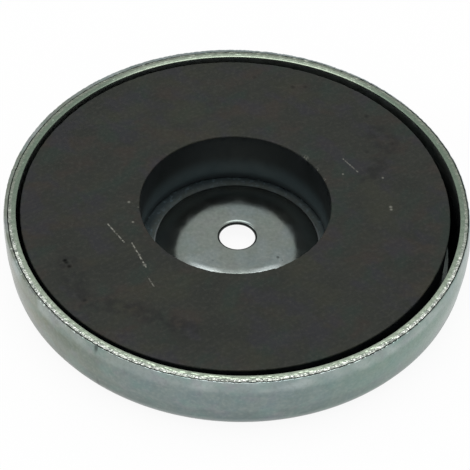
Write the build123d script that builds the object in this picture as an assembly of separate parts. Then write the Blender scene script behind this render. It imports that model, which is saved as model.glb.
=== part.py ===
from build123d import *
import math
import os

# Pot magnet: a sintered ferrite ring bonded into a shallow deep-drawn steel cup, which is screwed
# down through a hole in its raised centre. All sizes are in millimetres and degrees.
# The origin is on the cup's axis, in the plane of its flat back. +Z points out of the open side,
# where the rim and the ring hold on to the work.

# Ferrite ring: pressed and sintered, then ground flat on its working face. Its edges are broken.
magnet_diameter = 61.4
magnet_bore = 27.4
magnet_thickness = 8.6
back_edge_break = 0.2
face_edge_break = 0.2

# Adhesive between the flat back of the ring and the floor of the cup.
bond_thickness = 0.15
bond_set_back = 0.5

# Room for the ring in the cup. It is bonded off the axis, towards -X, up to its narrow side gap.
magnet_gap = 1.1
narrow_side_gap = 0.68
rim_above_magnet = 0.3

# Steel cup: sheet of one thickness. Trimming leaves its lip leaning in: below the rim, the wall
# widens by wall_belly within belly_drop, and from there it draws in again to the back. Outside, the
# two slopes are rounded together belly_run to each side of where they would meet.
sheet = 1.2
wall_belly = 0.6
belly_drop = 3.0
belly_run = 1.4
base_draw_in = 0.1
outside_corner_radius = 3.2
inside_corner_break = 0.8
rim_burnish_width = 0.5
rim_burnish_depth = 0.1

# Raised centre, pressed up from the back. Its foot is a circle inside the ring's bore.
rise_height = 1.7
rise_slope = 30.0
slope_flat = 0.1
foot_gap = 1.5
foot_radius = 0.6

# Screw hole, pierced through the raised centre from the side of the screw head. Its edge is broken
# there, and the sheet has broken away wider at the back.
hole_diameter = 5.5
hole_edge_break = 0.2
hole_back_break = 0.6

# Heights above the flat back.
floor_top = sheet
rise_top = floor_top + rise_height
magnet_back = floor_top + bond_thickness
magnet_face = magnet_back + magnet_thickness
rim_height = magnet_face + rim_above_magnet
belly_height = rim_height - belly_drop

# Radii from the cup's axis, and the ring's distance from it.
hole = hole_diameter / 2
rim_inner = magnet_diameter / 2 + magnet_gap
rim_outer = rim_inner + sheet
foot = magnet_bore / 2 - foot_gap
magnet_shift = magnet_gap - narrow_side_gap


# A solid turned about +Z. Each corner of its section is (radius, height, rounding).
def turned(corners):
    points = [(radius, height) for radius, height, rounding in corners]
    roundings = [rounding for radius, height, rounding in corners]
    outline = FilletPolyline(*points, radius=roundings, close=True)
    return revolve(Plane.XZ * make_face(outline), Axis.Z)


# The cup's section runs outwards along its back and up the wall to the rim, then back down the
# inside, one sheet thickness away, across the floor and over the raised centre to the screw hole.
def steel_cup():
    slope = math.radians(rise_slope)
    bend = math.tan(slope / 2)
    slope_length = rise_height / math.sin(slope)
    shoulder_radius = (slope_length - slope_flat) / bend - foot_radius
    shoulder = foot - rise_height / math.tan(slope)
    back_offset = sheet * bend
    lip_lean = math.atan(wall_belly / belly_drop)
    wall_lean = math.atan((wall_belly + base_draw_in) / belly_height)
    belly_radius = belly_run / math.tan((lip_lean + wall_lean) / 2)
    return turned([
        (hole, rise_top - sheet + hole_back_break, 0),
        (hole + hole_back_break, rise_top - sheet, 0),
        (shoulder - back_offset, rise_top - sheet, shoulder_radius - sheet),
        (foot - back_offset, 0, foot_radius + sheet),
        (rim_outer - base_draw_in, 0, outside_corner_radius),
        (rim_outer + wall_belly, belly_height, belly_radius),
        (rim_outer, rim_height, 0),
        (rim_inner + rim_burnish_width, rim_height, 0),
        (rim_inner, rim_height - rim_burnish_depth, 0),
        (rim_inner + wall_belly, belly_height, 0),
        (rim_inner - base_draw_in, floor_top + inside_corner_break, 0),
        (rim_inner - base_draw_in - inside_corner_break, floor_top, 0),
        (foot, floor_top, foot_radius),
        (shoulder, rise_top, shoulder_radius),
        (hole + hole_edge_break, rise_top, 0),
        (hole, rise_top - hole_edge_break, 0),
    ])


# The ring, with its edges broken at the back and at the working face.
def ferrite_ring():
    bore = magnet_bore / 2
    outside = magnet_diameter / 2
    ring = turned([
        (bore, magnet_back, 0),
        (outside, magnet_back, 0),
        (outside, magnet_face, 0),
        (bore, magnet_face, 0),
    ])
    levels = ring.edges().filter_by(GeomType.CIRCLE).group_by(Axis.Z)
    ring = chamfer(levels[-1], face_edge_break)
    levels = ring.edges().filter_by(GeomType.CIRCLE).group_by(Axis.Z)
    ring = chamfer(levels[0], back_edge_break)
    return Pos(-magnet_shift, 0, 0) * ring


# The adhesive lies under the flat of the ring's back, set in from both of its broken edges.
def adhesive_film():
    inside = magnet_bore / 2 + back_edge_break + bond_set_back
    outside = magnet_diameter / 2 - back_edge_break - bond_set_back
    film = turned([
        (inside, floor_top, 0),
        (outside, floor_top, 0),
        (outside, magnet_back, 0),
        (inside, magnet_back, 0),
    ])
    return Pos(-magnet_shift, 0, 0) * film


os.makedirs("parts", exist_ok=True)
export_step(steel_cup(), "parts/steel_cup.step")
export_step(ferrite_ring(), "parts/ferrite_ring.step")
export_step(adhesive_film(), "parts/adhesive_film.step")
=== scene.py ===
import math

import bmesh
import bpy
from mathutils import Matrix, Vector, noise


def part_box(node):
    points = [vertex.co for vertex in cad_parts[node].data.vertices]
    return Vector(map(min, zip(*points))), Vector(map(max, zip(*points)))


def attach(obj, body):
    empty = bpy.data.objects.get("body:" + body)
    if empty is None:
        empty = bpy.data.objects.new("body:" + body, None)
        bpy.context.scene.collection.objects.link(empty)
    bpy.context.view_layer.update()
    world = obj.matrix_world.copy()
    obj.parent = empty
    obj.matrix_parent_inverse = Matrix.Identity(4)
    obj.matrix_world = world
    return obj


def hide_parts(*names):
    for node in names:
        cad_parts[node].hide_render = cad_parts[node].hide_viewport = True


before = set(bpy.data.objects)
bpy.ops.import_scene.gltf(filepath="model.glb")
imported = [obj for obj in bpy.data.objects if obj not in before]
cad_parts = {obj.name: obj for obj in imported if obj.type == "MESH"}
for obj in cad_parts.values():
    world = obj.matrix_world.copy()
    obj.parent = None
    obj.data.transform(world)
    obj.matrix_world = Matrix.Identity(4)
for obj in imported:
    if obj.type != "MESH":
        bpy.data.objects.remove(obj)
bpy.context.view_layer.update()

mm = 0.001  # every length below is in millimetres, and this makes it metres
cornerStep = 15  # degrees of turn that one facet of a rounding takes
sectors = 40  # equal parts that a ring is made of
crease = 42  # degrees past which an edge stays sharp
hair = 0.01  # a width too small to see
bpy.context.scene.view_settings.view_transform = "Standard"

# Places read from the frame
cupHigh = Vector(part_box("steel_cup")[1]) / mm
ringLow, ringHigh = (Vector(corner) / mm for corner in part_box("ferrite_ring"))
filmLow, filmHigh = (Vector(corner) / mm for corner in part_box("adhesive_film"))
ringCentre = (ringLow + ringHigh) / 2
ringRadius = (ringHigh.x - ringLow.x) / 2
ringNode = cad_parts["ferrite_ring"].data
ringBore = min((vertex.co / mm - ringCentre).xy.length for vertex in ringNode.vertices)
rimHeight = cupHigh.z
sheet = filmLow.z  # the film lies on the cup's floor, one sheet's thickness up


def tone(red, green, blue):  # an on-screen colour, 0 to 255, as the linear one that shaders take
    return (*(((c / 255 + 0.055) / 1.055) ** 2.4 if c > 10 else c / 255 / 12.92
              for c in (red, green, blue)), 1)


# Shader arithmetic
class Signal:  # the value of a socket, which takes part in Python's arithmetic
    def __init__(self, finish, socket):
        self.finish = finish
        self.socket = socket

    def math(self, operation, *values):
        settings = {"operation": operation}
        return self.finish.node("ShaderNodeMath", settings, dict(enumerate(values)))

    def __add__(self, other):
        return self.math("ADD", self, other)

    def __radd__(self, other):
        return self.math("ADD", other, self)

    def __sub__(self, other):
        return self.math("SUBTRACT", self, other)

    def __rsub__(self, other):
        return self.math("SUBTRACT", other, self)

    def __mul__(self, other):
        return self.math("MULTIPLY", self, other)

    def __rmul__(self, other):
        return self.math("MULTIPLY", other, self)

    def __truediv__(self, other):
        return self.math("DIVIDE", self, other)

    def __pow__(self, other):
        return self.math("POWER", self, other)

    def larger(self, other):
        return self.math("MAXIMUM", self, other)


class Finish:  # one material, the nodes that it is made of and the colours that it uses by name
    def __init__(self, name, colours):
        self.colours = {label: tone(*colour) for label, colour in colours.items()}
        self.material = bpy.data.materials.new(name)
        self.material.use_nodes = True
        self.tree = self.material.node_tree
        self.tree.nodes.clear()
        metres = self.node("ShaderNodeTexCoord", output="Object")
        self.place = self.node("ShaderNodeVectorMath", {"operation": "SCALE"},
                               {0: metres, "Scale": 1 / mm})
        split = self.node("ShaderNodeSeparateXYZ", sockets={0: self.place}).socket.node
        self.x, self.y, self.z = (Signal(self, socket) for socket in split.outputs)

    def node(self, kind, settings=None, sockets=None, output=0):
        made = self.tree.nodes.new(kind)
        for name, value in (settings or {}).items():
            setattr(made, name, value)
        for name, value in (sockets or {}).items():
            if isinstance(value, Signal):
                self.tree.links.new(value.socket, made.inputs[name])
            else:
                made.inputs[name].default_value = self.colours.get(value, value)
        return Signal(self, made.outputs[output]) if made.outputs else None

    def radius(self, centre=(0, 0)):  # distance from an upright axis
        x = self.x - centre[0]
        y = self.y - centre[1]
        return (x * x + y * y) ** 0.5

    def heading(self):  # seamless places round the axis, as if on a circle of radius 1
        reach = self.radius()
        return self.x / reach, self.y / reach

    def vector(self, x, y, z):
        return self.node("ShaderNodeCombineXYZ", sockets={0: x, 1: y, 2: z})

    def around(self, size, upright):  # places on a circle of radius size, for streaks
        x, y = self.heading()
        return self.vector(x * size, y * size, upright)

    def turned(self, angle, along, across):  # places for streaks at an angle from +X
        cosine, sine = math.cos(math.radians(angle)), math.sin(math.radians(angle))
        return self.vector((self.x * cosine + self.y * sine) / along,
                           (self.y * cosine - self.x * sine) / across, self.z / across)

    def noise(self, size, detail=3, vector=None):  # cloudy values whose features are size wide
        sockets = {"Vector": vector or self.place, "Scale": 1 / size, "Detail": detail,
                   "Roughness": 0.55}
        return self.node("ShaderNodeTexNoise", {"noise_dimensions": "3D"}, sockets)

    def cells(self, size):
        sockets = {"Vector": self.place, "Scale": 1 / size}
        return self.node("ShaderNodeTexVoronoi", {"feature": "F1"}, sockets, "Distance")

    def ramp(self, value, low, high, start=0.0, end=1.0):  # start below low, end above high
        sockets = {"Value": value, "From Min": low, "From Max": high,
                   "To Min": start, "To Max": end}
        return self.node("ShaderNodeMapRange", {"interpolation_type": "SMOOTHSTEP"}, sockets)

    def fade(self, value, low, high):  # 1 below low, 0 above high
        return self.ramp(value, low, high, 1.0, 0.0)

    def band(self, value, low, high, soft):  # 1 between low and high
        return self.ramp(value, low - soft, low) * self.fade(value, high, high + soft)

    def stroke(self, start, end, width, soft):  # 1 on a line seen from above
        run = Vector(end) - Vector(start)
        x = self.x - start[0]
        y = self.y - start[1]
        along = self.node("ShaderNodeMath", {"operation": "MULTIPLY", "use_clamp": True},
                          {0: (x * run.x + y * run.y), 1: 1 / max(run.length_squared, 1e-6)})
        x = x - along * run.x
        y = y - along * run.y
        return self.fade((x * x + y * y) ** 0.5, width / 2, width / 2 + soft)

    def spot(self, place, width, soft):  # 1 at a place seen from above
        return self.stroke(place, place, width, soft)

    def blend(self, factor, first, second):
        return self.node("ShaderNodeMix", {"data_type": "RGBA", "blend_type": "MIX"},
                         {0: factor, 6: first, 7: second}, 2)

    def clouds(self, colour, kinds, detail, wall=0.0):  # tinted clouds over a colour
        for label, size, angle, along, across, low, high, amount, wallExtra in kinds:
            cloud = self.noise(size, detail, self.turned(angle, along, across))
            cover = self.ramp(cloud, low, high) * (wall * wallExtra + amount)
            colour = self.blend(cover, colour, label)
        return colour

    def bump(self, height, depth, below=None):  # depth is the height in millimetres of a value of 1
        sockets = {"Height": height, "Strength": 1.0, "Distance": depth * mm}
        if below is not None:
            sockets["Normal"] = below
        return self.node("ShaderNodeBump", {}, sockets)

    def finished(self, sockets):
        shader = self.node("ShaderNodeBsdfPrincipled", {}, sockets)
        self.node("ShaderNodeOutputMaterial", {}, {"Surface": shader})
        return self.material


def anyOf(masks):
    found = masks[0]
    for mask in masks[1:]:
        found = found.larger(mask)
    return found


# Mesh helpers; everything is modelled in millimetres and scaled to metres at the end
def section(corners, longest):  # a closed outline in XZ; corners are (radius, height, rounding)
    bm = bmesh.new()
    points = [Vector((radius, 0, height)) for radius, height, rounding in corners]
    vertex = bmesh.ops.create_vert(bm, co=points[0])["vert"][0]
    chain = [vertex]
    for point in points[1:]:
        vertex = bmesh.ops.extrude_vert_indiv(bm, verts=[vertex])["verts"][0]
        vertex.co = point
        chain.append(vertex)
    bmesh.ops.contextual_create(bm, geom=[chain[-1], chain[0]])
    roundings = [rounding for radius, height, rounding in corners]
    for i, (vertex, rounding) in enumerate(zip(chain, roundings)):
        if rounding:
            before = (points[i] - points[i - 1]).normalized()
            after = (points[(i + 1) % len(points)] - points[i]).normalized()
            turn = before.angle(after)
            steps = max(2, round(turn / math.radians(cornerStep)))
            bmesh.ops.bevel(bm, geom=[vertex], offset=rounding * math.tan(turn / 2),
                            offset_type="OFFSET", segments=steps, profile=0.5,
                            affect="VERTICES", material=-1)
    for edge in list(bm.edges):
        middle = sum((v.co for v in edge.verts), Vector()) / 2
        cuts = math.ceil(edge.calc_length() / longest(middle)) - 1
        if cuts > 0:
            bmesh.ops.subdivide_edges(bm, edges=[edge], cuts=cuts)
    return bm


def spun(bm, steps):  # turns an outline into a ring: one sector of it, repeated all the way round
    axis = {"cent": (0, 0, 0), "axis": (0, 0, 1)}
    turn = 2 * math.pi / sectors
    bmesh.ops.spin(bm, geom=bm.verts[:] + bm.edges[:], angle=turn, steps=steps // sectors, **axis)
    bmesh.ops.spin(bm, geom=bm.verts[:] + bm.edges[:] + bm.faces[:], angle=turn * (sectors - 1),
                   steps=sectors - 1, use_duplicate=True, **axis)
    bmesh.ops.remove_doubles(bm, verts=bm.verts, dist=1e-4)
    bmesh.ops.recalc_face_normals(bm, faces=bm.faces)


def piece(name, bm, materials):  # writes the mesh, smooth except along its creases
    for face in bm.faces:
        face.smooth = True
    for edge in bm.edges:
        edge.smooth = edge.calc_face_angle(0) < math.radians(crease)
    bmesh.ops.scale(bm, vec=(mm, mm, mm), verts=bm.verts)
    mesh = bpy.data.meshes.new(name)
    bm.to_mesh(mesh)
    bm.free()
    for material in materials:
        mesh.materials.append(material)
    made = bpy.data.objects.new(name, mesh)
    bpy.context.collection.objects.link(made)
    return made


def dressed(made, node):
    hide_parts(node)
    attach(made, "root")
    print(made.name, len(made.data.polygons), "faces")


def lump(*place):  # smooth noise from -1 to 1 at a place in its own units
    return noise.noise(Vector(place))


def placed(vertex):  # a vertex's distance from the axis, its angle and its direction outwards
    angle = math.atan2(vertex.co.y, vertex.co.x)
    return vertex.co.xy.length, angle, Vector((math.cos(angle), math.sin(angle), 0))


# Camera
view = {
    "elevation": 46.685,  # degrees
    "roll": 1.895,
    "distance": 227.7,
    "right": 0.085,  # where the magnet's centre lies from the middle of the frame
    "up": 4.74,
    "focal": 121.84851,  # lens for a 36 mm sensor
}
tilt = math.radians(view["elevation"])
roll = math.radians(view["roll"])
forward = Vector((0, math.cos(tilt), -math.sin(tilt)))
level = Vector((1, 0, 0))
over = Vector((0, math.sin(tilt), math.cos(tilt)))
cameraRight = level * math.cos(roll) + over * math.sin(roll)
cameraUp = over * math.cos(roll) - level * math.sin(roll)
aim = Vector((ringCentre.x, ringCentre.y, ringHigh.z))
spot = aim - cameraRight * view["right"] - cameraUp * view["up"] - forward * view["distance"]
facing = Matrix((cameraRight, cameraUp, -forward)).transposed().to_4x4()
cameraData = bpy.data.cameras.new("camera")
cameraData.lens = view["focal"]
camera = bpy.data.objects.new("camera", cameraData)
camera.matrix_world = Matrix.Translation(spot * mm) @ facing
bpy.context.collection.objects.link(camera)
bpy.context.scene.camera = camera
print("camera set")

# Steel cup: a drawn sheet with a raised middle, a rolled foot and a sheared rim
cup = {
    "steps": 1080,  # facets round the axis
    "rimRows": 0.085,  # the longest run of the outline at the rim, up the wall and over the floor
    "wallRows": 1.5,
    "floorRows": 4.0,
    "rimZone": 0.2,  # how far below the rim the outline is fine
    "wallZone": 30,  # only the wall lies further out than this
    "floorZone": 3,  # only the floor and the foot of the wall lie lower than this
    "rimOuter": 33.0,
    "rimInner": 31.66,
    "rimRounding": 0.07,
    "bellyHeight": 7.25,
    "belly": 0.6,  # how far the wall swells below the rim
    "bellyRounding": 9.5,
    "bellyInsideRounding": 0.6,
    "baseDrawIn": 0.1,
    "outsideCorner": 3.2,
    "insideCorner": 0.8,
    "foot": 12.2,
    "footRounding": 0.6,
    "riseTop": 3.1,
    "riseSlope": 28,  # degrees
    "slopeFlat": 2.17,
    "hole": 2.62,
    "holeRounding": 0.5,
    "holeBackBreak": 0.6,
    "holeBackRounding": 0.2,
    "burnishWidth": 0.5,  # the smooth inner part of the sheared edge
    "burnishDepth": 0.08,
    "burnishRounding": 0.12,
    "burnishZone": 0.35,  # how far below the rim its finish reaches
    "grooveWidth": 0.16,  # the dark line between the sheared edge and the wall
    "grooveDepth": 0.12,
    "lip": 0.1,
    "lipGrowth": 0.46,  # the lip is wider on one side, where the trimming ran off the axis
    "lipHeading": 135,  # degrees
    "lipSpread": 0.25,  # how much further than half-way round it is wider
    "lipRise": 1.6,  # the height over which it grows
    "tearDepth": 0.09,  # how deep the torn edge is
    "tearLength": 0.5,  # along the rim
    "tearAcross": 2.2,  # tears to a millimetre across it
    "tearGain": 1.5,
    "gritLength": 5,  # grains to a millimetre along the rim and across it
    "gritAcross": 6,
    "gritGain": 0.5,
    "tearFinish": 0.2,  # how far outside the burnished part its finish begins
    "tearEdge": 0.15,  # how far the tear itself reaches over the burnished part
    "tearSoft": 0.12,
    "tearZone": 0.3,  # how far below the rim it reaches
    "tearWander": 0.05,  # how far it runs in and out
    "wanderLength": 0.8,
    "wallWave": 0.02,
    "waveWidth": 9,
    "waveHeight": 5,
    "waveFrom": 1,  # the height where the waves begin, and how much higher they are whole
    "waveRise": 2,
    "nick": -123.3,  # degrees, where the lip was struck
    "nickLength": 0.5,
    "nickDepth": 0.2,
    "nickHeight": 0.5,
    "specks": [  # dark spots on the plating: place from the axis, width
        ((5.96, -4.15), 0.42), ((6.6, -4.6), 0.18), ((-3.4, -5.2), 0.16), ((2.2, 3.9), 0.14),
        ((-18.05, -27.55), 0.5), ((-17.95, -27.7), 0.3),
    ],
    "highlightStreaks": (7.9, 9.2),  # heights over which the painted highlight along the top of the wall comes in
    "wallShadeBand": (3.0, 4.2, 0.7),  # bottom, top and softness of the painted shade band
    # heights over which the painted highlight at the foot of the wall fades out
    "wallFootHighlight": (1.3, 2.7),
    "gapShade": (30.0, 30.6),  # painted shade in the gap round the ring: inner edge, outer edge and heights
    "gutterEnd": (32.2, 32.5),
    "gutterTop": (5.0, 8.0),
    "gap": (31.0, 31.4),  # the dull inside of the wall: its edge and heights
    "gapHeights": (4.0, 8.0),
    "highlightCentre": (-0.4, 6.6),  # the painted highlight on the near shoulder is part of a circle round this place
    "shoulderHighlight": (13.75, 14.6, 0.5),
    # the painted shade on the floor deepens between these distances from the axis
    "soilAndShade": (12.3, 13.6),
    "soilAndShadeEnd": (14.0, 15.0),
    "clouds": [  # colour, size, angle, length, width, noise from and to, amount, more on the wall
        ("blueCloud", 4.2, 0, 1.0, 1.0, 0.42, 0.68, 0.25, -0.1),
        ("mauveCloud", 3.1, 40, 1.2, 0.9, 0.5, 0.7, 0.1, 0.15),
        ("tealCloud", 3.7, -20, 1.1, 0.8, 0.5, 0.68, 0.08, 0.2),
    ],
    "plating": {
        "plain": (130, 138, 132), "wallNear": (120, 134, 133), "wallLeft": (108, 114, 90),
        "wallRight": (122, 145, 134), "wallTopHighlight": (174, 184, 182), "wallShadeBand": (92, 108, 106),
        "wallFootHighlight": (176, 184, 182), "blueCloud": (116, 136, 150), "mauveCloud": (140, 132, 146),
        "tealCloud": (114, 148, 140), "bloom": (158, 164, 156), "gapShade": (36, 44, 48),
        "footShine": (226, 234, 234), "lightGrain": (170, 174, 168), "darkGrain": (92, 100, 94),
        "shoulderHighlight": (206, 214, 214), "speck": (50, 56, 56), "holeShade": (34, 38, 36),
        "soilAndShade": (58, 78, 88), "paleSoil": (150, 176, 186),
    },
    "shearing": {
        "coarseDark": (132, 140, 132), "coarseLight": (208, 214, 204),
        "coarseSoil": (104, 112, 106), "glintHighlight": (252, 252, 250),
        "smoothDark": (118, 130, 116), "smoothLight": (140, 146, 134),
        "burnishDark": (158, 172, 154), "burnishLight": (176, 188, 170),
        "smeared": (106, 122, 108), "grooveShade": (36, 38, 38), "grooveLight": (112, 116, 112),
    },
}
widest = cupHigh.x - hair
slope = math.radians(cup["riseSlope"])
rise = cup["riseTop"] - sheet  # which is the height of the raised middle's back too
backOffset = sheet * math.tan(slope / 2)
shoulder = cup["foot"] - rise / math.tan(slope)
shoulderRounding = (rise / math.sin(slope) - cup["slopeFlat"]) / math.tan(slope / 2)
shoulderRounding -= cup["footRounding"]
grooveOuter = cup["rimOuter"] - cup["lip"]
grooveInner = grooveOuter - cup["grooveWidth"]
burnish = cup["rimInner"] + cup["burnishWidth"]
cupCorners = [
    (cup["hole"], rise + cup["holeBackBreak"], 0),
    (cup["hole"] + cup["holeBackBreak"], rise, cup["holeBackRounding"]),
    (shoulder - backOffset, rise, shoulderRounding - sheet),
    (cup["foot"] - backOffset, 0, cup["footRounding"] + sheet),
    (cup["rimOuter"] - cup["baseDrawIn"], 0, cup["outsideCorner"]),
    (cup["rimOuter"] + cup["belly"], cup["bellyHeight"], cup["bellyRounding"]),
    (cup["rimOuter"], rimHeight - 2 * hair, cup["rimRounding"]),
    (grooveOuter, rimHeight - hair, 0),
    ((grooveInner + grooveOuter) / 2, rimHeight - cup["grooveDepth"], 0),
    (grooveInner, rimHeight - hair, 0),
    (burnish, rimHeight, cup["burnishRounding"]),
    (cup["rimInner"], rimHeight - cup["burnishDepth"], cup["burnishRounding"]),
    (cup["rimInner"] + cup["belly"], cup["bellyHeight"], cup["bellyInsideRounding"]),
    (cup["rimInner"] - cup["baseDrawIn"], sheet, cup["insideCorner"]),
    (cup["foot"], sheet, cup["footRounding"]),
    (shoulder, cup["riseTop"], shoulderRounding),
    (cup["hole"], cup["riseTop"], cup["holeRounding"]),
]


def cupRow(place):  # the longest run allowed at a place of the outline
    if place.z > rimHeight - cup["rimZone"] and place.x > cup["wallZone"]:
        return cup["rimRows"]
    return cup["wallRows"] if place.z > cup["floorZone"] else cup["floorRows"]


cupMesh = section(cupCorners, cupRow)
print("cup outline rows", len(cupMesh.verts))
spun(cupMesh, cup["steps"])
plated, torn, grooved, burnished = range(4)  # the order of the cup's finishes
for face in cupMesh.faces:
    middle = face.calc_center_median()
    reach = middle.xy.length
    below = rimHeight - middle.z
    if below < cup["grooveDepth"] + hair and reach > grooveInner - hair:
        face.material_index = grooved if reach < grooveOuter + 2 * hair else plated
    elif below < cup["tearDepth"] + hair and reach > burnish + cup["tearFinish"]:
        face.material_index = torn
    elif below < cup["burnishZone"] and reach < grooveInner:
        face.material_index = burnished
for vertex in cupMesh.verts:
    reach, angle, outward = placed(vertex)
    height = vertex.co.z
    x, y = math.cos(angle) * cup["rimOuter"], math.sin(angle) * cup["rimOuter"]
    fromNick = abs(angle - math.radians(cup["nick"])) * cup["rimOuter"]
    inNick = 1 - 2 * fromNick / cup["nickLength"]
    if inNick > 0 and height > rimHeight - cup["nickHeight"] and reach > burnish:
        vertex.co -= outward * cup["nickDepth"] * inNick
    if reach > grooveOuter + hair and height > cup["bellyHeight"]:
        side = math.cos(angle - math.radians(cup["lipHeading"])) + cup["lipSpread"]
        side = max(0, side) / (1 + cup["lipSpread"])
        share = min(1, (height - cup["bellyHeight"]) / cup["lipRise"])
        share *= min(1, (reach - grooveOuter) / cup["lip"])
        vertex.co += outward * min(cup["lipGrowth"] * side * share, widest - reach)
    if reach > cup["wallZone"] and height > cup["waveFrom"]:
        wave = lump(x / cup["waveWidth"], y / cup["waveWidth"], height / cup["waveHeight"])
        wave = cup["wallWave"] + wave * cup["wallWave"]
        vertex.co -= outward * wave * min(1, (height - cup["waveFrom"]) / cup["waveRise"])
    tearFrom = burnish - cup["tearEdge"]
    if height > rimHeight - cup["tearZone"] and tearFrom < reach < cup["rimOuter"] + 5 * hair:
        tear = min(1, (reach - tearFrom) / cup["tearSoft"])
        chatter = lump(x / cup["tearLength"], y / cup["tearLength"], reach * cup["tearAcross"])
        grit = lump(x * cup["gritLength"], y * cup["gritLength"], reach * cup["gritAcross"])
        chatter = abs(chatter) * cup["tearGain"] + abs(grit) * cup["gritGain"]
        vertex.co.z -= cup["tearDepth"] * tear * min(1, chatter)
        wander = lump(x / cup["wanderLength"], y / cup["wanderLength"], 4.0)
        vertex.co += outward * cup["tearWander"] * wander * tear


def zincFinish():
    f = Finish("zincPlating", cup["plating"])
    reach = f.radius()
    x, y = f.heading()
    corner = cup["outsideCorner"]
    beyond = (reach - (cup["rimOuter"] - corner)).larger(0)
    under = (corner - f.z).larger(0)
    wall = f.ramp((beyond ** 2 + under ** 2) ** 0.5, corner - 0.5, corner - 0.2)

    # The wall: dull to the left, greener to the right, with a painted highlight along its top
    # broken into streaks, a painted shade band low down and a painted highlight at its foot
    wallColour = f.blend(f.fade(x, -0.95, -0.2), "wallNear", "wallLeft")
    wallColour = f.blend(f.ramp(x, 0.15, 0.7) * f.fade(y, -0.4, 0.1), wallColour, "wallRight")
    highlightStreaks = f.ramp(f.noise(1.0, 1, f.around(7, f.z * 0.3)), 0.42, 0.7)
    # painted highlight along the top of the wall, broken into streaks
    wallColour = f.blend(f.ramp(f.z, *cup["highlightStreaks"]) * (highlightStreaks * 0.5 + 0.3), wallColour, "wallTopHighlight")
    # painted shade in a band low on the wall
    wallColour = f.blend(f.band(f.z, *cup["wallShadeBand"]) * 0.3, wallColour, "wallShadeBand")
    # painted highlight at the foot of the wall
    wallColour = f.blend(f.fade(f.z, *cup["wallFootHighlight"]) * 0.5, wallColour, "wallFootHighlight")

    # All of the plating: clouds, bloom, and painted shade down in the gap round the ring
    colour = f.clouds(f.blend(wall, "plain", wallColour), cup["clouds"], 2, wall)
    cloud = f.noise(2.2, 4)
    colour = f.blend(f.ramp(cloud, 0.35, 0.65) * 0.18, colour, "bloom")
    # painted shade down in the gap between the ring and the wall
    gapShade = f.ramp(reach, *cup["gapShade"]) * f.fade(reach, *cup["gutterEnd"])
    colour = f.blend(gapShade * f.fade(f.z, *cup["gutterTop"]) * 0.6, colour, "gapShade")

    # The raised middle: a painted highlight along its foot, a painted highlight on the near
    # shoulder, spots, and painted shade round the punched hole
    onFloor = f.ramp(f.z, 0.6, 1.0)
    # painted highlight along the foot of the raised middle, strongest on the near side
    shine = f.band(reach, cup["foot"] - 0.13, cup["foot"] + 0.02, 0.1)
    shine = shine * f.fade(f.z, sheet + 0.2, sheet + 0.4) * onFloor * f.ramp(y, 0.1, 0.7, 1.0, 0.12)
    colour = f.blend(shine * 0.9, colour, "footShine")
    mottle = f.noise(0.5, 2)
    colour = f.blend(f.ramp(mottle, 0.5, 0.7) * 0.16, colour, "lightGrain")
    colour = f.blend(f.ramp(mottle, 0.5, 0.3) * 0.16, colour, "darkGrain")
    # painted highlight on the near shoulder of the raised middle
    shoulderHighlight = f.band(f.radius(cup["highlightCentre"]), *cup["shoulderHighlight"]) * f.fade(y, -0.7, -0.3)
    shoulderHighlight = shoulderHighlight * f.fade(x * x, 0.45, 0.68) * f.ramp(f.z, 2.3, 2.6)
    colour = f.blend(shoulderHighlight * f.ramp(x * x, 0.02, 0.2, 0.08, 0.5), colour, "shoulderHighlight")
    specks = anyOf([f.spot(place, width * 0.4, width * 0.6) for place, width in cup["specks"]])
    colour = f.blend(specks * 0.7, colour, "speck")
    rim = reach - f.fade(y, -0.5, 0.2) * 0.27  # painted shade round the punched edge, wider on one side
    # painted shade round the punched hole
    holeShade = f.fade(rim, cup["hole"] + 0.07, cup["hole"] + 0.15) * f.ramp(f.z, 1.9, 2.1)
    colour = f.blend(holeShade * 0.85, colour, "holeShade")

    # The floor round the raised middle: a dull tint, with painted shade darkening it towards the
    # ring
    dull = f.fade(f.z, sheet + 0.03, sheet + 0.12) * onFloor * f.fade(reach, *cup["soilAndShadeEnd"])
    # a dull tint over the floor, with painted shade deepening towards the ring's bore
    colour = f.blend(dull * (f.ramp(reach, *cup["soilAndShade"]) * 0.5 + 0.2), colour, "soilAndShade")
    colour = f.blend(dull * f.ramp(f.noise(0.7, 3), 0.52, 0.7) * 0.4, colour, "paleSoil")

    # A dull film: least on the slope, more on the floor and inside the wall
    gap = f.ramp(reach, *cup["gap"]) * (1 - wall) * f.ramp(f.z, *cup["gapHeights"])
    slopeFilm = f.band(f.z, sheet + 0.3, cup["riseTop"] - 0.6, 0.3)
    slopeFilm = slopeFilm * f.fade(reach, cup["foot"], cup["foot"] + 0.5)
    metallic = 1 - dull * 0.13 - gap * 0.1 - slopeFilm * 0.03
    grain = f.noise(0.14, 2)
    roughness = f.ramp(cloud, 0.3, 0.7, 0.16, 0.24) + (grain - 0.5) * 0.06
    roughness = roughness + dull * 0.15 + gap * 0.25
    drawn = f.noise(1.0, 3, f.around(60, f.z * 0.25)) * wall * f.ramp(f.z, 0.5, 1.5)
    normal = f.bump(grain, 0.004)
    normal = f.bump(drawn, 0.012, normal)  # faint lines up the wall from drawing
    normal = f.bump(f.noise(5.0, 2), 0.02, normal)
    return f.finished({"Base Color": colour, "Metallic": metallic, "Roughness": roughness,
                       "Normal": normal})


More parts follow.
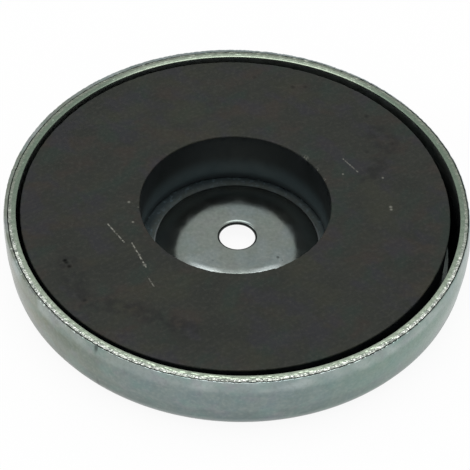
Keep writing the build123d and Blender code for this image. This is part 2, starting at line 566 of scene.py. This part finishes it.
def tornFinish():
    f = Finish("shearedEdge", cup["shearing"])
    x, y = f.heading()
    streaks = f.noise(0.4, 3, f.around(cup["rimOuter"], f.radius() * 0.4))
    grit = f.cells(0.22)
    coarse = f.blend(f.ramp(streaks, 0.38, 0.6), "coarseDark", "coarseLight")
    coarse = f.blend(f.ramp(f.noise(0.45, 3), 0.5, 0.62) * 0.55, coarse, "coarseSoil")
    # painted glints on the sheared edge
    coarse = f.blend(f.ramp(f.noise(0.3, 2), 0.56, 0.66), coarse, "glintHighlight")
    smooth = f.blend(f.ramp(streaks, 0.35, 0.65), "smoothDark", "smoothLight")
    near = f.fade(y, -0.6, 0.15)  # coarse on one side, where a painted highlight makes it bright and glinting; smeared smooth on the other
    normal = f.bump(streaks * (near * 0.75 + 0.25), 0.08)
    normal = f.bump(grit * (near * 0.85 + 0.15), 0.05, normal)
    return f.finished({"Base Color": f.blend(near, smooth, coarse), "Metallic": 1.0,
                       "Roughness": f.ramp(grit, 0, 0.6, 0.2, 0.36), "Normal": normal})


def grooveFinish():
    f = Finish("rimGroove", cup["shearing"])
    # painted shade in the groove, broken by lighter patches
    breaks = f.ramp(f.noise(1.0, 3, f.around(cup["rimOuter"], 0.0)), 0.42, 0.6)
    return f.finished({"Base Color": f.blend(breaks, "grooveShade", "grooveLight"), "Metallic": 1.0,
                       "Roughness": 0.45, "Normal": f.bump(breaks, 0.03)})


def burnishedFinish():
    f = Finish("burnishedLip", cup["shearing"])
    streaks = f.noise(0.6, 3)
    x, y = f.heading()
    colour = f.blend(f.ramp(streaks, 0.35, 0.65), "burnishDark", "burnishLight")
    smeared = f.ramp(y, -0.7, 0.1) * f.fade(y, 0.72, 0.9)
    return f.finished({"Base Color": f.blend(smeared * 0.85, colour, "smeared"), "Metallic": 1.0,
                       "Roughness": f.ramp(streaks, 0.3, 0.7, 0.24, 0.34),
                       "Normal": f.bump(streaks, 0.01)})


cupFinishes = [zincFinish(), tornFinish(), grooveFinish(), burnishedFinish()]
dressed(piece("steelCup", cupMesh, cupFinishes), "steel_cup")

# Ferrite ring: pressed and sintered, ground on its top face, with small chips along its edges
magnet = {
    "steps": 960,
    "edgeRows": 0.11,  # the longest run of the outline at the top's edges, near them and elsewhere
    "nearRows": 1.0,
    "wideRows": 2.6,
    "edgeRowsTo": 0.9,  # how far from an edge each kind goes
    "nearRowsTo": 2,
    "faceEdge": 0.18,
    "backEdge": 0.2,
    "edgeZone": 0.5,  # only this near to an edge is anything broken off
    "nibble": 0.035,  # crumbling of the sharp edges
    "nibbleReach": 0.35,
    "nibbleSize": 0.7,
    "grainSize": 0.25,
    "grainShare": 0.6,
    "chipReach": 0.4,
    "ragged": 0.5,  # how uneven the chips are, and the size of it
    "raggedSize": 0.4,
    "chips": [  # angle in degrees, length along the edge, depth; on the bore's edge
        (44, 2.2, 0.15), (32, 1.4, 0.14), (22.5, 0.8, 0.12), (-173, 0.7, 0.12),
        (118, 0.8, 0.08), (-64, 0.9, 0.08),
    ],
    "paleChips": 4,  # how many of them, from the first, have pale broken grains
    "outerChips": [
        (-98, 1.2, 0.08), (12, 0.8, 0.07), (150, 1.4, 0.07), (74, 0.9, 0.06), (-38, 0.8, 0.07),
    ],
    # Marks on the top face are placed from the cup's axis
    "rubs": [  # light rubs of metal: start, end, width, strength
        ((-18.3, -5.2), (-15.8, -8.56), 0.05, 0.7),
        ((-14.68, -8.7), (-12.45, -13.1), 0.05, 0.8),
        ((-12.06, -14.9), (-11.1, -16.7), 0.04, 0.45),
        ((15.2, 9.6), (17.3, 6.95), 0.04, 0.5),
    ],
    "specks": [  # light specks: place, width
        ((-15.65, -0.73), 0.3), ((-12.62, -12.75), 0.34), ((-13.5, -10.9), 0.26),
        ((-14.8, -4.65), 0.26), ((15.1, 6.4), 0.22), ((20.9, 5.9), 0.24), ((21.8, 0.0), 0.34),
        ((21.85, -0.5), 0.3),
    ],
    "pits": [  # dark spots: place, width, strength
        ((1.9, 27.2), 0.3, 0.4), ((7.8, 25.2), 0.5, 0.45), ((9.7, 25.3), 0.3, 0.4),
        ((18.9, 19.1), 0.5, 0.45), ((18.75, 11.25), 0.3, 0.35), ((22.6, 13.2), 0.4, 0.4),
        ((-23.65, -12.4), 0.5, 1.0), ((-23.45, -12.75), 0.3, 0.8), ((-22.95, -13.45), 0.35, 0.9),
        ((-20.3, -19.5), 0.4, 0.5),
    ],
    "smudges": [  # wide dark smudges: start, end, width
        ((-23.4, -12.7), (-20.3, -19.5), 1.2), ((-20.3, -19.5), (-13.4, -20.9), 1.0),
        ((-13.4, -20.9), (-5.9, -24.1), 1.2), ((20.4, 15.4), (22.6, 11.9), 1.6),
        ((22.6, 11.9), (18.7, 5.8), 1.0),
    ],
    "grinding": 33,  # degrees from +X that the grinding lines run
    "clouds": [  # colour, size, angle, length, width, noise from and to, amount
        ("brown", 5.5, 10, 1.3, 0.8, 0.5, 0.66, 0.65, 0),
        ("green", 6.5, 60, 1.3, 0.8, 0.5, 0.66, 0.7, 0),
        ("violet", 5.0, -40, 1.3, 0.8, 0.5, 0.66, 0.65, 0),
        ("olive", 8.0, 25, 1.3, 0.8, 0.5, 0.66, 0.5, 0),
    ],
    "ground": {
        "dark": (23, 27, 21), "light": (30, 33, 27), "brown": (39, 32, 26), "green": (21, 36, 29),
        "violet": (29, 29, 36), "olive": (36, 38, 24), "paleLine": (52, 51, 46),
        "darkLine": (20, 21, 20), "paleGrain": (50, 50, 45), "darkGrain": (18, 20, 18),
        "smudge": (14, 15, 15), "pit": (8, 9, 9), "rub": (140, 140, 130), "broken": (118, 118, 108),
    },
    "fired": {"dark": (8, 12, 14), "light": (14, 18, 20), "lowReflection": (44, 55, 58)},
}


def ringRow(place):
    near = min(abs(place.x - ringBore), abs(place.x - ringRadius))
    if place.z > ringHigh.z - 1.0 and near < magnet["edgeRowsTo"]:
        return magnet["edgeRows"]
    return magnet["nearRows"] if near < magnet["nearRowsTo"] else magnet["wideRows"]


ringMesh = section([
    (ringBore, ringLow.z, magnet["backEdge"]), (ringRadius, ringLow.z, magnet["backEdge"]),
    (ringRadius, ringHigh.z, magnet["faceEdge"]), (ringBore, ringHigh.z, magnet["faceEdge"]),
], ringRow)
print("ring outline rows", len(ringMesh.verts))
spun(ringMesh, magnet["steps"])
for vertex in ringMesh.verts:
    reach, angle, outward = placed(vertex)
    below = ringHigh.z - vertex.co.z
    edges = (ringBore, 1, magnet["chips"]), (ringRadius, -1, magnet["outerChips"])
    for edge, side, chips in edges:
        away = max(abs(reach - edge), below)
        if away > magnet["edgeZone"]:
            continue
        x, y = outward.x * edge, outward.y * edge
        nibble, grain, chip = (magnet[size] for size in ("nibbleSize", "grainSize", "raggedSize"))
        crumble = magnet["grainShare"] * lump(x / grain, y / grain, below / grain)
        crumble += lump(x / nibble, y / nibble, below / nibble)
        crumble = max(0, crumble) * magnet["nibble"]
        depth = crumble * max(0, 1 - away / magnet["nibbleReach"]) * 2
        for heading, length, deepest in chips:
            arc = abs((angle - math.radians(heading) + math.pi) % (2 * math.pi) - math.pi) * edge
            ragged = 1 + magnet["ragged"] * lump(x / chip, y / chip, heading)
            shape = max(0, 1 - (2 * arc / length) ** 2)
            shape *= max(0, 1 - away / (magnet["chipReach"] * ragged))
            depth = max(depth, deepest * shape * ragged)
        vertex.co += outward * side * depth
        vertex.co.z -= depth
bmesh.ops.translate(ringMesh, verts=ringMesh.verts, vec=(ringCentre.x, ringCentre.y, 0))


def groundFinish():
    f = Finish("groundFerrite", magnet["ground"])
    top = f.ramp(f.z, ringHigh.z - 0.12, ringHigh.z - 0.03)
    lines = f.noise(1.0, 4, f.turned(magnet["grinding"], 6.0, 0.34))
    fineLines = f.noise(1.0, 3, f.turned(magnet["grinding"], 3.0, 0.16))
    colour = f.blend(f.ramp(f.noise(4.5, 4), 0.3, 0.7), "dark", "light")
    colour = f.clouds(colour, magnet["clouds"], 3)
    colour = f.blend(f.ramp(lines, 0.45, 0.75) * 0.16 * top, colour, "paleLine")
    colour = f.blend(f.ramp(lines, 0.5, 0.25) * 0.14 * top, colour, "darkLine")
    mottle = f.noise(0.55, 2)
    colour = f.blend(f.ramp(mottle, 0.5, 0.7) * 0.35, colour, "paleGrain")
    colour = f.blend(f.ramp(mottle, 0.5, 0.3) * 0.3, colour, "darkGrain")

    # Smudges and pits
    smudge = anyOf([f.stroke(*line, width, width * 1.3) for *line, width in magnet["smudges"]])
    smudge = smudge * f.ramp(f.noise(1.3, 4), 0.38, 0.62) * top
    colour = f.blend(smudge * 0.6, colour, "smudge")
    pits = anyOf([f.spot(place, width * 0.3, 0.45) * amount
                  for place, width, amount in magnet["pits"]])
    colour = f.blend(pits * top * 0.9, colour, "pit")

    # Rubs of metal, specks and the broken grains of chips
    wander = f.vector(f.x + (f.noise(0.9, 2) - 0.5) * 0.5, f.y + (f.noise(1.1, 2) - 0.5) * 0.5, f.z)
    patchy = f.ramp(f.noise(0.45, 3, wander), 0.4, 0.62)
    rubs = anyOf([f.stroke(*line, width, 0.13) * amount for *line, width, amount in magnet["rubs"]])
    specks = anyOf([f.spot(place, 0.04, width) for place, width in magnet["specks"]])
    rubs = (rubs * patchy).larger(specks * 0.45) * top
    colour = f.blend(rubs, colour, "rub")
    chips = []
    for heading, length, depth in magnet["chips"][:magnet["paleChips"]]:
        x = ringCentre.x + (ringBore + 0.15) * math.cos(math.radians(heading))
        y = ringCentre.y + (ringBore + 0.15) * math.sin(math.radians(heading))
        chips.append(f.spot((x, y), 0.1, length * 0.35))
    colour = f.blend(anyOf(chips) * f.ramp(f.noise(0.3, 3), 0.4, 0.6) * 0.55, colour, "broken")

    grain = f.noise(0.2, 2)
    normal = f.bump(lines * top, 0.012)
    normal = f.bump(fineLines * top, 0.008, normal)
    normal = f.bump(grain, 0.012, normal)
    hollow = (pits * 0.85).larger(smudge * 0.12) * top  # black hollows that throw no light back
    return f.finished({"Base Color": colour, "Metallic": hollow, "Specular IOR Level": 0.25,
                       "Roughness": f.ramp(grain, 0.3, 0.7, 0.5, 0.62) - rubs * 0.2,
                       "Normal": normal})


def firedFinish():  # the bore, the outside and the back keep the surface that they were fired with
    f = Finish("firedFerrite", magnet["fired"])
    cloud = f.noise(2.4, 3)
    lowReflection = f.ramp(f.z, 1.5, 2.9) * f.fade(f.z, 3.4, 6.2)  # a lighter band low on the walls: painted reflected light
    colour = f.blend(f.ramp(cloud, 0.35, 0.65), "dark", "light")
    return f.finished({"Base Color": f.blend(lowReflection * 0.9, colour, "lowReflection"),
                       "Roughness": f.ramp(cloud, 0.3, 0.7, 0.4, 0.5), "Specular IOR Level": 0.3,
                       "Normal": f.bump(f.noise(0.25, 2), 0.004)})


for face in ringMesh.faces:
    if face.calc_center_median().z < ringHigh.z - 0.2:
        face.material_index = 1
dressed(piece("ferriteRing", ringMesh, [groundFinish(), firedFinish()]), "ferrite_ring")

# Adhesive: the thin layer under the ring, squeezed out unevenly at both sides
glue = {
    "steps": 360,
    "inner": 14.6,
    "outer": 30.1,
    "middle": 22,  # from here the adhesive was pressed outwards, and inside it towards the axis
    "rows": 5.0,
    "rounding": 0.05,
    "uneven": 0.35,
    "lumps": 5,  # how many lumps to a radius
    "apart": 3,  # sets the lumps of the two sides apart
    "colours": {"dark": (86, 94, 92), "light": (120, 128, 124)},
}
glueMesh = section([
    (glue["inner"], filmLow.z, glue["rounding"]), (glue["outer"], filmLow.z, glue["rounding"]),
    (glue["outer"], filmHigh.z, glue["rounding"]), (glue["inner"], filmHigh.z, glue["rounding"]),
], lambda place: glue["rows"])
spun(glueMesh, glue["steps"])
for vertex in glueMesh.verts:
    outward = Vector((vertex.co.x, vertex.co.y, 0)).normalized()
    side = 1 if vertex.co.xy.length > glue["middle"] else -1
    uneven = lump(outward.x * glue["lumps"], outward.y * glue["lumps"], side * glue["apart"])
    vertex.co += outward * side * glue["uneven"] * uneven
bmesh.ops.translate(glueMesh, verts=glueMesh.verts, vec=(ringCentre.x, ringCentre.y, 0))


def glueFinish():
    f = Finish("curedAdhesive", glue["colours"])
    cloud = f.noise(1.2, 3)
    return f.finished({"Base Color": f.blend(f.ramp(cloud, 0.35, 0.65), "dark", "light"),
                       "Roughness": f.ramp(cloud, 0.3, 0.7, 0.3, 0.5),
                       "Normal": f.bump(cloud, 0.03)})


dressed(piece("adhesiveBead", glueMesh, [glueFinish()]), "adhesive_film")

# Studio: a pale floor, an even pale world and soft lamps
studio = {
    "floorSize": 2500,
    "floorWhite": 0.8,
    "floorDrop": 0.02,  # keeps the floor off the underside of the part
    "plainSeen": 0.92,  # how much of the floor is plain white to the camera
    "plainMirrored": 0.4,  # and in reflections
    "world": 0.75,
    "lamps": {  # place, width, brightness of the lamp's own surface
        "overhead": ((0, 0, 900), 820, 2.4),
        "left": ((-900, -100, 420), 600, 1.2),
    },
}


def floorFinish():  # plain white to the camera, but for the share that keeps the part's shadow
    f = Finish("paleFloor", {})
    pale = f.node("ShaderNodeBsdfDiffuse", {}, {"Color": (*[studio["floorWhite"]] * 3, 1)})
    plain = f.node("ShaderNodeEmission", {}, {"Color": (1, 1, 1, 1), "Strength": 1.0})
    seen = f.node("ShaderNodeLightPath", output="Is Camera Ray")
    rays = seen.socket.node.outputs
    mirrored = Signal(f, rays["Is Glossy Ray"]).larger(Signal(f, rays["Is Transmission Ray"]))
    share = seen * studio["plainSeen"] + mirrored * studio["plainMirrored"]
    mixed = f.node("ShaderNodeMixShader", {}, {0: share, 1: pale, 2: plain})
    f.node("ShaderNodeOutputMaterial", {}, {"Surface": mixed})
    return f.material


floorMesh = bmesh.new()
bmesh.ops.create_grid(floorMesh, x_segments=1, y_segments=1, size=studio["floorSize"])
bmesh.ops.translate(floorMesh, verts=floorMesh.verts, vec=(0, 0, -studio["floorDrop"]))
piece("floor", floorMesh, [floorFinish()])

world = bpy.data.worlds.new("world")
world.use_nodes = True
background = world.node_tree.nodes["Background"].inputs
background["Color"].default_value = (1, 1, 1, 1)
background["Strength"].default_value = studio["world"]
bpy.context.scene.world = world
for name, (place, width, brightness) in studio["lamps"].items():
    lamp = bpy.data.lights.new(name, "AREA")
    lamp.shape = "DISK"
    lamp.size = width * mm
    lamp.energy = brightness * math.pi * math.pi * (width * mm / 2) ** 2
    place = Vector(place) * mm
    facing = place.to_track_quat("Z", "Y").to_matrix().to_4x4()
    made = bpy.data.objects.new(name, lamp)
    made.matrix_world = Matrix.Translation(place) @ facing
    bpy.context.collection.objects.link(made)
print("studio set,", len(studio["lamps"]), "lamps")
